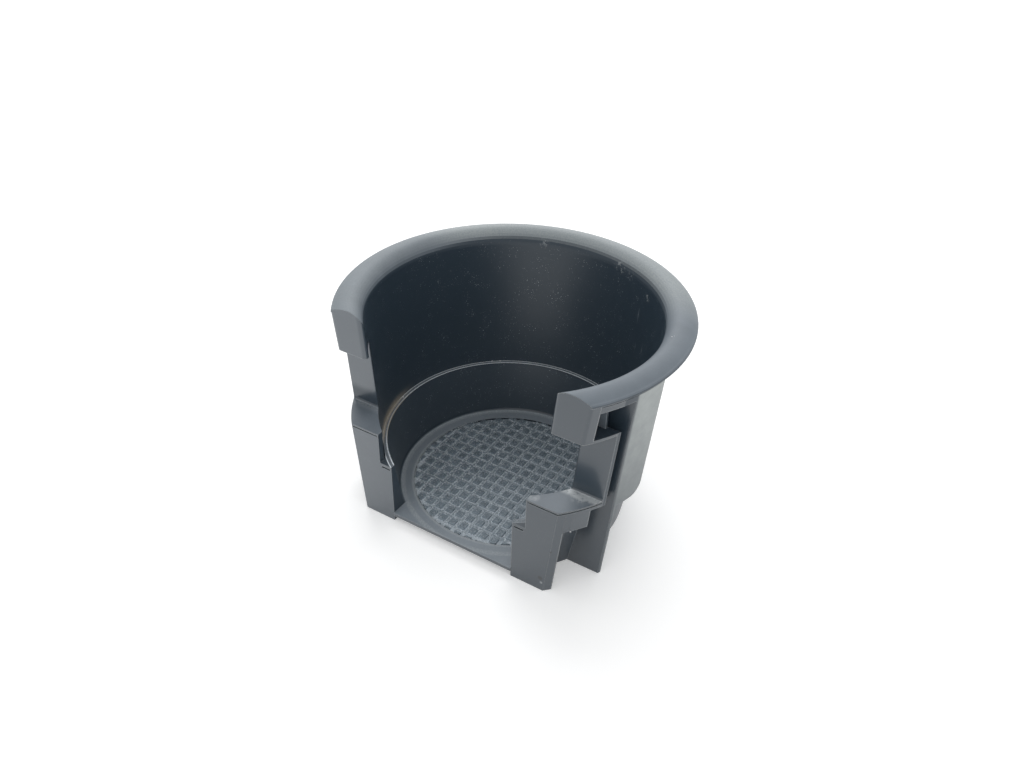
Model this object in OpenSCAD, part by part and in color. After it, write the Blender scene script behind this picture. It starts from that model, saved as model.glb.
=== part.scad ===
// Round cup holder insert for a car console: a stepped cup with a rolled rim,
// an open front with two pillars, and a loose waffle mat on its floor.
// The cup's axis is Z, the base stands on Z = 0 and the open front faces -Y.

/* [Rim] */
// Outside diameter of the rolled rim
rim_d = 100; // [97:0.5:108]
// Height from the base to the crown of the rim
total_h = 67.8; // [65:0.2:76]
// Distance from the rim's outer edge in to its crown
crown_inset = 4.7; // [4:0.1:5.5]
// Fall of the rim's top from the crown to its outer edge
crown_drop = 1.2; // [0.6:0.1:1.8]
// Width of the inner roll from the crown in to the straight wall
roll_w = 4; // [3:0.1:4.6]
// Depth of the inner roll from the crown down to the straight wall
roll_h = 5.5; // [4.5:0.5:8]
// Height of the rim's outer lip
lip_h = 0.9; // [0.8:0.1:1.2]
// Overhang of the lip over the neck below it
lip_over = 0.9; // [0.9:0.1:1.8]
// Height of the shadow line between the lip and the outer skin
neck_h = 0.6; // [0.4:0.1:1.2]

/* [Cup] */
// Taper of the upper wall, from the roll in to the ledge
cup_taper = 2.6; // [1.6:0.1:3.2]
// Width of the ledge that a wide cup stands on
ledge_w = 1.35; // [1:0.05:2]
// Height of the ledge above the base
ledge_z = 20.8; // [18:0.2:24]
// Taper of the lower bowl, from the ledge in to the floor
bowl_taper = 2.95; // [2:0.05:3.6]
// Thickness of the cup's wall
wall_t = 1.8; // [1.4:0.1:2.2]
// Height of the floor above the base
floor_t = 3; // [2.7:0.1:3.6]
// Fillet between the floor and the bowl's wall
floor_fillet = 1.2; // [0.8:0.2:2.4]

/* [Open front] */
// Distance from the axis to the front face of the pillars
front_y = 32.8; // [32:0.2:34]
// Distance from the axis to the front edge of the sill
sill_y = 33; // [32.4:0.2:34]
// Width of the lower opening between the pillars
low_gap = 40.8; // [36:0.4:43]
// Width of the upper opening at the ledge
high_gap = 48.8; // [46:0.4:50]
// Height of the shadow gap below the sill
sill_gap = 1.9; // [1:0.1:2.1]
// Depth of the shadow gap below the sill
sill_gap_deep = 3.4; // [1:0.2:4]

/* [Pillars] */
// Inset of the outer skin from the rim's edge at the top
skin_inset = 0.45; // [0.3:0.05:0.8]
// Taper of the outer skin, from the top in to the base
skin_taper = 4.5; // [3.5:0.1:5.5]
// Thickness of the outer skin
skin_t = 1.6; // [1.2:0.1:2]
// Thickness of the front panels
panel_t = 1.8; // [1.6:0.1:2.8]
// Height of the shelf at the bottom of the notch
shelf_z = 31.2; // [29:0.2:33]
// Thickness of the shelf
shelf_t = 1.9; // [1.7:0.1:2.4]
// Thickness of the shelf's own edge above its shadow line
shelf_edge = 0.5; // [0.4:0.1:0.8]
// Height and depth of the shadow line around the shelf
shelf_line = 0.4; // [0.3:0.1:0.8]
// Height of the skirt that hangs from the shelf's edge
skirt_h = 8; // [5:0.2:10]
// Distance from the axis to the rear end of the skirt
skirt_y = 25.4; // [24:0.2:28]
// Distance from the axis to the notch's back plate
back_y = 22.4; // [21:0.2:24]
// Thickness of the back plate
back_t = 0.9; // [0.8:0.1:1.6]
// Fillet between the back plate and the shelf
shelf_fillet = 0.8; // [0.5:0.1:1.2]
// Width of the slot between the panel and the cup's wall
slot_w = 1.2; // [0.8:0.1:1.6]

/* [Rim box and side flap] */
// Height of the box under each end of the rim
box_h = 13.8; // [11:0.2:16]
// Distance from the axis to the front face of the rim's ends
end_y = 30.6; // [29.6:0.2:31.4]
// Thickness of the plate that closes each end of the rim
end_t = 2.2; // [2:0.1:3]
// Round of the end plate's inner and outer upright edges
inner_round = 1.1; // [0.6:0.1:1.6]
outer_round = 1.3; // [0.8:0.1:1.8]
// Thickness of the sheet over the notch
sheet_t = 0.8; // [0.7:0.1:1.6]
// Height of the header above the window
header_h = 1.8; // [1.2:0.1:2.4]
// Outer half width of the back plate inside the window
web_x = 40; // [39:0.2:41]
// Distance from the axis to the front face of the side rib
rib_y = 18.7; // [18:0.1:19.4]
// Thickness of the side rib
rib_t = 0.9; // [0.8:0.1:2]
// Distance from the axis to the rear edge of the side flap
flap_y = 9; // [7:0.2:11]
// Height of the side flap's lower edge above the base
flap_z = 26.8; // [25:0.2:30]
// Radius of the side flap's lower rear corner
flap_round = 4; // [3:0.5:5]

/* [Floor mat] */
// Width of the bare floor around the mat
mat_margin = 4.8; // [4:0.2:6]
// Clearance between the mat and its recess
mat_gap = 0.35; // [0.2:0.05:0.6]
// Overall thickness of the mat
mat_t = 1.1; // [0.9:0.1:1.3]
// Depth of the recess in the floor
recess_h = 1; // [0.8:0.1:1.2]
// Depth of the grooves between the pads
groove_h = 0.5; // [0.3:0.1:0.7]
// Width of the grooves between the pads
groove_w = 1.4; // [1:0.05:1.7]
// Pitch of the pads from side to side
pitch_x = 3.6; // [3.2:0.1:4.2]
// Pitch of the pads from front to back
pitch_y = 3.75; // [3.2:0.05:4.2]

/* [Hidden] */
$fn = 96;

// Overlap that lets joined solids share volume
weld = 0.2;
// Reach of the cutting solids past the part
reach = 20;
// Round of the lip's upper edge, and how far it hangs below the rim's sheet
lip_round = 0.7;
lip_hang = 0.5;
// Play between the skin's top edge and the lip's seat, and inset of the rim's ends
seat_gap = 0.05;
end_inset = 0.1;
// Place, height and depth of the shadow line below the ledge's front ends
nose_drop = 0.9;
nose_line = 0.5;

rim_r = rim_d / 2;
crown_r = rim_r - crown_inset;
mouth_r = crown_r - roll_w;
ledge_r = mouth_r - cup_taper;
bowl_top_r = ledge_r - ledge_w;
floor_r = bowl_top_r - bowl_taper;
mat_r = floor_r - mat_margin;
recess_r = mat_r + mat_gap;
neck_r = rim_r - lip_over;
skin_top_r = rim_r - skin_inset;
skin_base_r = skin_top_r - skin_taper;
seat_r = skin_top_r + seat_gap;
end_top_r = rim_r - end_inset;
roll_z = total_h - roll_h;
lip_top_z = total_h - crown_drop;
lip_low_z = lip_top_z - lip_h;
rim_low_z = lip_low_z + lip_hang;
skin_top_z = lip_low_z - neck_h;
window_top_z = skin_top_z - header_h;
sheet_z = total_h - box_h;
ledge_low_z = ledge_z - wall_t;
line_z = shelf_z - shelf_edge - shelf_line;
mat_z = floor_t - recess_h;

// Inner radius of the upper cup at height z
function cup_r(z) = ledge_r + cup_taper * (z - ledge_z) / (roll_z - ledge_z);
// Inner radius of the lower bowl at height z
function bowl_r(z) = floor_r + bowl_taper * (z - floor_t) / (ledge_z - floor_t);
// Radius of the outer skin at height z
function skin_r(z) = skin_base_r + skin_taper * z / skin_top_z;
// Distance along X to a circle of radius r at distance y from the axis
function chord(r, y) = sqrt(r * r - y * y);

// Points of the inner roll, a quarter ellipse from the crown down to the wall
roll_points = [for (a = [0 : 10 : 90])
    [crown_r - roll_w * sin(a), roll_z + roll_h * cos(a)]];
// Points of the rim's gently domed top, from the lip in to the crown
dome_points = [for (i = [0 : 5])
    let (u = 1 - i / 6)
    [crown_r + (crown_inset - lip_round) * u, total_h - crown_drop * u * u]];
// Points of the lip's rounded upper edge
lip_points = [for (a = [0 : 30 : 60])
    [rim_r - lip_round + lip_round * cos(a), lip_top_z - lip_round + lip_round * sin(a)]];
// Points of the fillet between the bowl's wall and the floor
fillet_points = [for (a = [0 : 15 : 90])
    [bowl_r(floor_t + floor_fillet) - floor_fillet + floor_fillet * cos(a),
     floor_t + floor_fillet - floor_fillet * sin(a)]];

// Outside of the cup as a filled solid of revolution
module cup_outside() {
    rotate_extrude()
        polygon(concat(
            [[0, 0], [floor_r + wall_t, 0]],
            [[bowl_top_r + wall_t, ledge_low_z], [cup_r(ledge_low_z) + wall_t, ledge_low_z]],
            [[cup_r(rim_low_z) + wall_t, rim_low_z], [seat_r, rim_low_z]],
            [[seat_r, lip_low_z], [rim_r, lip_low_z]],
            lip_points, dome_points, [[crown_r, total_h], [0, total_h]]));
}

// Room inside the cup, open at the top
module cup_inside() {
    rotate_extrude()
        polygon(concat(
            [[0, total_h + reach], [crown_r, total_h + reach]],
            roll_points,
            [[ledge_r, ledge_z], [bowl_top_r, ledge_z]],
            fillet_points, [[0, floor_t]]));
}

// Room between the pillars, where the cup's wall is cut away
module front_opening() {
    translate([-low_gap / 2, -rim_r, floor_t])
        cube([low_gap, rim_r, ledge_z - floor_t + weld]);
    translate([-high_gap / 2, -rim_r, ledge_z])
        cube([high_gap, rim_r, total_h]);
}

// Space in front of the part: the pillars' face, the notch and the rim's ends
module front_trim() {
    translate([-rim_d, -rim_d, -reach])
        cube([2 * rim_d, rim_d - front_y, shelf_z + reach]);
    translate([-rim_d, -rim_d, shelf_z])
        cube([2 * rim_d, rim_d - back_y, sheet_z - shelf_z]);
    translate([-rim_d, -rim_d, sheet_z])
        cube([2 * rim_d, rim_d - end_y, total_h]);
}

// Shadow gap below the sill
module sill_cut() {
    translate([-low_gap / 2, -sill_y - weld, -weld])
        cube([low_gap, sill_gap_deep + weld, sill_gap + weld]);
}

// Block across the right side, from y = -front to y = -rear
module side_block(front, rear, low, high) {
    translate([low_gap / 2, -front, low])
        cube([rim_r, front - rear, high - low]);
}

// Filled outer skin with its neck below the lip, moved in by an inset
module skin_cone(inset) {
    cylinder(h = skin_top_z, r1 = skin_base_r - inset, r2 = skin_top_r - inset);
    translate([0, 0, skin_top_z - weld])
        cylinder(h = neck_h + lip_hang + 2 * weld, r = neck_r - inset);
}

// Slab of the pillar that reaches out to the skin
module skin_slab(front, rear, low, high) {
    intersection() {
        skin_cone(0);
        side_block(front, rear, low, high);
    }
}

// Piece of the thin outer skin
module skin_shell(front, rear, low, high) {
    difference() {
        skin_slab(front, rear, low, high);
        translate([0, 0, -weld])
            skin_cone(skin_t);
    }
}

// Shelf at the bottom of the notch, with its skirt and its shadow line
module shelf() {
    difference() {
        skin_slab(front_y, back_y - back_t, shelf_z - shelf_t, shelf_z);
        difference() {
            side_block(front_y + weld, back_y, line_z, line_z + shelf_line);
            intersection() {
                skin_cone(shelf_line);
                side_block(front_y - shelf_line, 0, 0, total_h);
            }
        }
    }
    skin_shell(front_y, skirt_y, shelf_z - skirt_h, shelf_z - shelf_t);
}

// Concave fillet along the shelf's back edge
module shelf_corner() {
    intersection() {
        skin_cone(0);
        difference() {
            side_block(back_y + shelf_fillet, back_y, shelf_z - weld, shelf_z + shelf_fillet);
            translate([0, -back_y - shelf_fillet, shelf_z + shelf_fillet])
                rotate([0, 90, 0])
                    cylinder(h = rim_r + reach, r = shelf_fillet);
        }
    }
}

// Back plate of the notch and its narrower web inside the window
module back_plate() {
    skin_slab(back_y, back_y - back_t, shelf_z - shelf_t, sheet_z + sheet_t);
    translate([low_gap / 2, -back_y, sheet_z])
        cube([web_x - low_gap / 2, back_t, rim_low_z + weld - sheet_z]);
}

// Trimming tool for an upright edge: a wedge from the round's centre, less the round
module edge_trim(centre, r, lean, low, high, wedge) {
    translate([centre[0], centre[1], low])
        rotate([0, lean, 0])
            difference() {
                translate([0, 0, -reach / 2])
                    linear_extrude(height = high - low + reach)
                        polygon(wedge);
                translate([0, 0, -reach / 2 - weld])
                    cylinder(h = high - low + reach + 2 * weld, r = r);
            }
}

// Rounds on the upright edges of the rim's end
module end_rounds() {
    in_r = cup_r(sheet_z);
    in_c = [chord(in_r + inner_round, end_y - inner_round), -end_y + inner_round];
    in_lean = atan((chord(mouth_r + inner_round, end_y - inner_round) - in_c[0]) / (roll_z - sheet_z));
    in_dir = in_c / norm(in_c);
    out_r = skin_r(sheet_z);
    out_c = [chord(out_r - outer_round, end_y - outer_round), -end_y + outer_round];
    out_lean = atan((chord(end_top_r - outer_round, end_y - outer_round) - out_c[0])
        / (lip_low_z - sheet_z));
    out_dir = out_c / norm(out_c);
    edge_trim(in_c, inner_round, in_lean, sheet_z, total_h,
        [[0, 0], -in_dir * reach / 2, [-reach / 2, -reach / 2], [0, -reach / 2]]);
    intersection() {
        edge_trim(out_c, outer_round, out_lean, sheet_z, lip_low_z,
            [[0, 0], [0, -reach / 4], [reach / 4, -reach / 4], out_dir * reach / 4]);
        side_block(rim_r, 0, sheet_z - weld, lip_low_z);
    }
}

// Plate that closes the rim's end, flush with the lip above it
module end_plate() {
    intersection() {
        side_block(end_y, end_y - end_t, sheet_z, total_h);
        union() {
            translate([0, 0, sheet_z])
                cylinder(h = lip_low_z + weld / 2 - sheet_z, r1 = skin_r(sheet_z), r2 = end_top_r);
            translate([0, 0, lip_low_z])
                cylinder(h = lip_hang + weld / 2, r = seat_r + seat_gap);
        }
    }
}

// Box under the rim's end: sheet over the notch, end plate and header
module rim_box() {
    skin_slab(end_y, back_y - back_t, sheet_z, sheet_z + sheet_t);
    end_plate();
    skin_shell(end_y, flap_y, window_top_z, rim_low_z + weld);
}

// Side rib from the base to the rim, and the flap that runs back from it
module side_flap() {
    skin_slab(rib_y, rib_y - rib_t, 0, rim_low_z + weld);
    difference() {
        skin_shell(rib_y, flap_y, flap_z, rim_low_z + weld);
        translate([low_gap / 2, -flap_y - flap_round, flap_z - weld])
            difference() {
                cube([rim_r, flap_round + weld, flap_round + weld]);
                translate([-weld, 0, flap_round + weld])
                    rotate([0, 90, 0])
                        cylinder(h = rim_r + reach, r = flap_round);
            }
    }
}

// Walls that close the cup along the lower opening, with the sill between them
module low_front() {
    deep = front_y - floor_r / 2;
    translate([-low_gap / 2 - wall_t, -front_y, 0])
        cube([low_gap + 2 * wall_t, deep, ledge_z]);
    translate([-high_gap / 2 - wall_t, -front_y, ledge_low_z])
        cube([high_gap + 2 * wall_t, deep, ledge_z - ledge_low_z]);
    translate([-low_gap / 2, -sill_y, 0])
        cube([low_gap, sill_y - floor_r / 2, floor_t]);
}

// Slot between the front panel and the cup's wall, above the ledge
module wall_slot() {
    translate([low_gap / 2, -front_y + panel_t, ledge_z])
        cube([cup_r(ledge_z) - low_gap / 2, slot_w, shelf_z - shelf_t - ledge_z]);
}

// Shadow line below the ledge's front end
module nose_cut() {
    translate([low_gap / 2 + nose_line, -front_y - weld, ledge_z - nose_drop - nose_line])
        cube([(high_gap - low_gap) / 2 - 2 * nose_line, nose_line + weld, nose_line]);
}

module cup_body() {
    color("#565c63")
        difference() {
            union() {
                difference() {
                    cup_outside();
                    front_trim();
                }
                low_front();
                for (side = [0, 1])
                    mirror([side, 0, 0]) {
                        skin_slab(front_y, front_y - panel_t, 0, shelf_z - shelf_t);
                        shelf();
                        back_plate();
                        rim_box();
                        side_flap();
                        shelf_corner();
                    }
            }
            cup_inside();
            front_opening();
            sill_cut();
            for (side = [0, 1])
                mirror([side, 0, 0]) {
                    wall_slot();
                    nose_cut();
                    end_rounds();
                }
            translate([0, 0, mat_z])
                cylinder(h = recess_h + weld, r = recess_r);
        }
}

// Loose mat: a disc whose top is cut by two sets of grooves into square pads
module floor_mat() {
    columns = ceil(mat_r / pitch_x);
    rows = ceil(mat_r / pitch_y);
    color("#3c4147")
        difference() {
            translate([0, 0, mat_z])
                cylinder(h = mat_t, r = mat_r);
            for (i = [-columns : columns - 1])
                translate([(i + 0.5) * pitch_x - groove_w / 2, -2 * mat_r, mat_z + mat_t - groove_h])
                    cube([groove_w, 4 * mat_r, 2 * groove_h]);
            for (i = [-rows : rows - 1])
                translate([-2 * mat_r, (i + 0.5) * pitch_y - groove_w / 2, mat_z + mat_t - groove_h])
                    cube([4 * mat_r, groove_w, 2 * groove_h]);
        }
}

cup_body();
floor_mat();
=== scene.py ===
"""Dresses the round car cup holder: its plastic, its waffle mat, its dust, and a white studio."""

import logging
import math
from dataclasses import dataclass, field
from enum import Enum
from typing import TypeAlias

import bmesh
import bpy
from mathutils import Matrix, Vector

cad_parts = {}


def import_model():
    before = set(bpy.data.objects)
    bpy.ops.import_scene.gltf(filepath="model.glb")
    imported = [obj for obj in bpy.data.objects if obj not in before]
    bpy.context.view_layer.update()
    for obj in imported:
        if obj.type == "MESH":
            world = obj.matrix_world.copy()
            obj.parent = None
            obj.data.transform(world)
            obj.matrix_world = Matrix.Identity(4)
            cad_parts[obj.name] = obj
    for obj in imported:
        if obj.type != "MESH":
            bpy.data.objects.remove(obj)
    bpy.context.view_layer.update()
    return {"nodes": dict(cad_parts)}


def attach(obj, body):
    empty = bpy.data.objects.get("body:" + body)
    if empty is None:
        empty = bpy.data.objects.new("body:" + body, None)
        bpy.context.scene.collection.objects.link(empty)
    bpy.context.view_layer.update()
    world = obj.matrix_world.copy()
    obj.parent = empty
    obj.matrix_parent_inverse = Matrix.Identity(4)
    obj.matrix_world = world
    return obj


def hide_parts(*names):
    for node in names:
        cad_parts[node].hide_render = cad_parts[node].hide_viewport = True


LOG = logging.getLogger("cup_holder")
MM = 0.001
WHITE = (1.0, 1.0, 1.0, 1.0)

Colour = tuple[float, float, float, float]
Point = tuple[float, float, float]
Socket = bpy.types.NodeSocket
Material = bpy.types.Material
Piece = bpy.types.Object
Amount: TypeAlias = "float | Sock"


class Slot(Enum):
    """Material slots of the record; no piece in this script takes its finish from them."""

    PLASTIC = "body_plastic"
    RUBBER = "mat_rubber"


class Surface(Enum):
    """Surfaces of the part that dust lies on."""

    GROOVES = "grooves"
    FLOOR = "floor"
    LEDGE = "ledge"
    GAP = "gap"


# Sizes of the part, in millimetres, as its source gives them


@dataclass(frozen=True)
class CupSizes:
    """Named sizes of the cup that the finishes and the dust follow.

    Args:
        ledge_z: Height of the ledge.
        ledge_r: Inner radius of the upper wall at the ledge.
        bowl_top_r: Inner radius of the bowl at the ledge.
        mouth_r: Inner radius of the wall below the roll.
        roll_z: Height at which the roll begins.
        floor_z: Height of the floor.
        floor_r: Inner radius of the bowl at the floor.
        shelf_z: Height of the notch's shelf.
        back_y: Distance of the notch's back plate from the axis.
        front_y: Distance of the front face from the axis.
        sill_y: Distance of the sill's edge from the axis.
        low_half: Half width of the lower opening.
        high_half: Half width of the upper opening.
        rib_y: Distance of the side rib from the axis.
        skin_base_r: Radius of the outer skin at the base.
        skin_top_r: Radius of the outer skin at its top.
        skin_top_z: Height of the outer skin's top.
    """

    ledge_z: float = 20.8
    ledge_r: float = 38.7
    bowl_top_r: float = 37.35
    mouth_r: float = 41.3
    roll_z: float = 62.3
    floor_z: float = 3.0
    floor_r: float = 34.4
    shelf_z: float = 31.2
    back_y: float = 22.4
    front_y: float = 32.8
    sill_y: float = 33.0
    low_half: float = 20.4
    high_half: float = 24.4
    rib_y: float = 18.7
    skin_base_r: float = 45.05
    skin_top_r: float = 49.55
    skin_top_z: float = 65.1


@dataclass(frozen=True)
class MatSizes:
    """Named sizes of the waffle mat.

    Args:
        radius: Radius of the mat.
        low_z: Height of its underside.
        groove_z: Height of the grooves' floor.
        top_z: Height of the pads' tops.
        pitch: Pitches of the pads along X and along Y.
        groove_w: Width of the grooves.
        ease: Height of the pads' eased top edge.
    """

    radius: float = 29.6
    low_z: float = 2.0
    groove_z: float = 2.6
    top_z: float = 3.1
    pitch: tuple[float, float] = (3.6, 3.75)
    groove_w: float = 1.4
    ease: float = 0.12


CUP = CupSizes()
MAT = MatSizes()


# Node trees


class NodeGraph:
    """Node tree whose nodes are all made by one method."""

    def __init__(self, tree: bpy.types.NodeTree) -> None:
        """Takes over a tree.

        Args:
            tree: Tree that nodes are added to.
        """
        self.tree = tree

    def add(
        self,
        kind: str,
        settings: dict[str, object] | None = None,
        values: dict[str | int, object] | None = None,
    ) -> bpy.types.Node:
        """Adds a node.

        Args:
            kind: Type name of the node.
            settings: Properties that are set first.
            values: Numbers, colours, links or lists of links of its inputs, by name or place.

        Returns:
            The new node.
        """
        node = self.tree.nodes.new(kind)
        for key, value in (settings or {}).items():
            setattr(node, key, value)
        for key, value in (values or {}).items():
            for item in value if isinstance(value, list) else [value]:
                source = item.socket if isinstance(item, Sock) else item
                if isinstance(source, Socket):
                    self.tree.links.new(source, node.inputs[key])
                else:
                    node.inputs[key].default_value = source
        return node

    def seen(self) -> Socket:
        """Marks the rays of the camera, of reflections and of refractions.

        Returns:
            One on such a ray, else zero.
        """
        rays = self.add("ShaderNodeLightPath").outputs
        mask = rays["Is Camera Ray"]
        for name in ("Is Glossy Ray", "Is Transmission Ray"):
            mask = self.add("ShaderNodeMath", {"operation": "MAXIMUM"}, {0: mask, 1: rays[name]}).outputs[0]
        return mask


class Sock:
    """A value in a shader graph, with the arithmetic that the finishes use."""

    def __init__(self, graph: NodeGraph, socket: Socket) -> None:
        """Wraps one output socket.

        Args:
            graph: Graph that the socket belongs to.
            socket: Output socket of a node.
        """
        self.graph = graph
        self.socket = socket

    def _math(self, operation: str, *values: Amount) -> "Sock":
        """Adds a Math node with these inputs."""
        node = self.graph.add("ShaderNodeMath", {"operation": operation}, dict(enumerate(values)))
        return Sock(self.graph, node.outputs[0])

    def __add__(self, other: Amount) -> "Sock":
        """Sum."""
        return self._math("ADD", self, other)

    __radd__ = __add__

    def __sub__(self, other: Amount) -> "Sock":
        """Difference."""
        return self._math("SUBTRACT", self, other)

    def __rsub__(self, other: Amount) -> "Sock":
        """Difference with this value taken away."""
        return self._math("SUBTRACT", other, self)

    def __mul__(self, other: Amount) -> "Sock":
        """Product."""
        return self._math("MULTIPLY", self, other)

    __rmul__ = __mul__

    def __truediv__(self, other: Amount) -> "Sock":
        """Quotient."""
        return self._math("DIVIDE", self, other)

    def above(self, edge: Amount) -> "Sock":
        """One where this value is more than the edge, else zero."""
        return self._math("GREATER_THAN", self, edge)

    def below(self, edge: Amount) -> "Sock":
        """One where this value is less than the edge, else zero."""
        return self._math("LESS_THAN", self, edge)

    def low(self, other: Amount) -> "Sock":
        """Smaller of two values."""
        return self._math("MINIMUM", self, other)

    def high(self, other: Amount) -> "Sock":
        """Larger of two values."""
        return self._math("MAXIMUM", self, other)

    def size(self) -> "Sock":
        """Value without its sign."""
        return self._math("ABSOLUTE", self)

    def root(self) -> "Sock":
        """Square root."""
        return self._math("SQRT", self)

    def part(self) -> "Sock":
        """Fraction above the next lower whole number."""
        return self._math("FRACT", self)

    def ramp(self, start: float, end: float, low: float = 0.0, high: float = 1.0) -> "Sock":
        """Smooth step between two edges.

        Args:
            start: Value at which the step begins.
            end: Value at which it ends; it may be the smaller one.
            low: Result at the start.
            high: Result at the end.

        Returns:
            The stepped value.
        """
        if start > end:
            start, end, low, high = end, start, high, low
        node = self.graph.add(
            "ShaderNodeMapRange",
            {"interpolation_type": "SMOOTHSTEP", "clamp": True},
            {"Value": self, "From Min": start, "From Max": end, "To Min": low, "To Max": high},
        )
        return Sock(self.graph, node.outputs[0])

    def band(self, middle: float, half: float, soft: float) -> "Sock":
        """One within half of a middle value, falling to zero over soft."""
        return (self - middle).size().ramp(half + soft, half)


class ShaderGraph(NodeGraph):
    """Node tree of one material. It holds the point being shaded, in millimetres.

    x, y and z are its coordinates, r is its distance from the axis, and point is its vector.
    """

    def __init__(self, name: str) -> None:
        """Makes an empty material.

        Args:
            name: Name of the material.
        """
        self.material = bpy.data.materials.new(name)
        self.material.use_nodes = True
        super().__init__(self.material.node_tree)
        self.tree.nodes.clear()
        place = self.add("ShaderNodeTexCoord").outputs["Object"]
        scaled = self.add("ShaderNodeVectorMath", {"operation": "SCALE"}, {0: place, "Scale": 1 / MM})
        self.point = scaled.outputs[0]
        self.x, self.y, self.z = self.split(self.point)
        self.r = (self.x * self.x + self.y * self.y).root()

    def split(self, vector: Socket) -> list[Sock]:
        """Parts a vector into its three numbers."""
        node = self.add("ShaderNodeSeparateXYZ", values={0: vector})
        return [Sock(self, output) for output in node.outputs]

    def facing(self) -> tuple[Sock, Sock]:
        """Gives how far the surface faces the front, and how far it faces up."""
        _, back, up = self.split(self.add("ShaderNodeTexCoord").outputs["Normal"])
        return 0.0 - back, up

    def rounded(self, radius: float) -> Socket:
        """Gives the surface's direction with edges rounded by a radius in metres."""
        return self.add("ShaderNodeBevel", {"samples": 6}, {"Radius": radius}).outputs[0]

    def edges(self, radius: float) -> Sock:
        """Marks sharp edges, where the rounded direction turns from the surface's own.

        Args:
            radius: Radius of the rounding, in metres.

        Returns:
            One at the edges, else zero.
        """
        rounded = self.rounded(radius)
        own = self.add("ShaderNodeNewGeometry").outputs["Normal"]
        turn = self.add("ShaderNodeVectorMath", {"operation": "DOT_PRODUCT"}, {0: rounded, 1: own})
        return Sock(self, turn.outputs["Value"]).ramp(0.97, 0.78)

    def noise(
        self,
        scale: float,
        detail: float = 2.0,
        rough: float = 0.5,
        stretch: Point = (1.0, 1.0, 1.0),
    ) -> Sock:
        """Noise over the point being shaded.

        Args:
            scale: Cycles per millimetre.
            detail: Number of finer layers.
            rough: Strength of the finer layers.
            stretch: Factors of the scale along X, Y and Z.

        Returns:
            Noise around a half.
        """
        point = self.point
        if stretch != (1.0, 1.0, 1.0):
            scaled = self.add("ShaderNodeVectorMath", {"operation": "MULTIPLY"}, {0: point, 1: stretch})
            point = scaled.outputs[0]
        values = {"Vector": point, "Scale": scale, "Detail": detail, "Roughness": rough}
        return Sock(self, self.add("ShaderNodeTexNoise", {"noise_dimensions": "3D"}, values).outputs[0])

    def near(self, centre: Point, size: float, soft: float) -> Sock:
        """One within a distance of a centre, falling to zero over soft."""
        node = self.add("ShaderNodeVectorMath", {"operation": "DISTANCE"}, {0: self.point, 1: centre})
        return Sock(self, node.outputs["Value"]).ramp(size + soft, size)

    def mix(self, first: object, second: object, factor: Amount) -> Socket:
        """Mixes two colours.

        Args:
            first: Colour or link at factor zero.
            second: Colour or link at factor one.
            factor: Share of the second colour.

        Returns:
            The mixed colour's socket.
        """
        settings = {"data_type": "RGBA", "clamp_factor": True}
        return self.add("ShaderNodeMix", settings, {0: factor, 6: first, 7: second}).outputs[2]

    def finish(
        self,
        colour: object,
        roughness: Amount,
        height: Sock | None,
        depth: float,
        fixed: dict[str, object],
        round_edges: float = 0.0,
    ) -> Material:
        """Ends the graph in one Principled shader.

        Args:
            colour: Base colour or its link.
            roughness: Roughness.
            height: Relief of the surface, from zero to one, if it has one.
            depth: Depth of that relief, in metres.
            fixed: Other values of the shader by name.
            round_edges: Radius by which sharp edges catch the light, in metres.

        Returns:
            The material.
        """
        values: dict[str | int, object] = {"Base Color": colour, "Roughness": roughness, **fixed}
        if round_edges:
            values["Normal"] = self.rounded(round_edges)
        if height is not None:
            relief: dict[str | int, object] = {"Strength": 1.0, "Distance": depth, "Height": height}
            if round_edges:
                relief["Normal"] = values["Normal"]
            values["Normal"] = self.add("ShaderNodeBump", values=relief).outputs[0]
        shader = self.add("ShaderNodeBsdfPrincipled", values=values)
        self.add("ShaderNodeOutputMaterial", values={"Surface": shader.outputs[0]})
        return self.material


# Finishes


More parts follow.
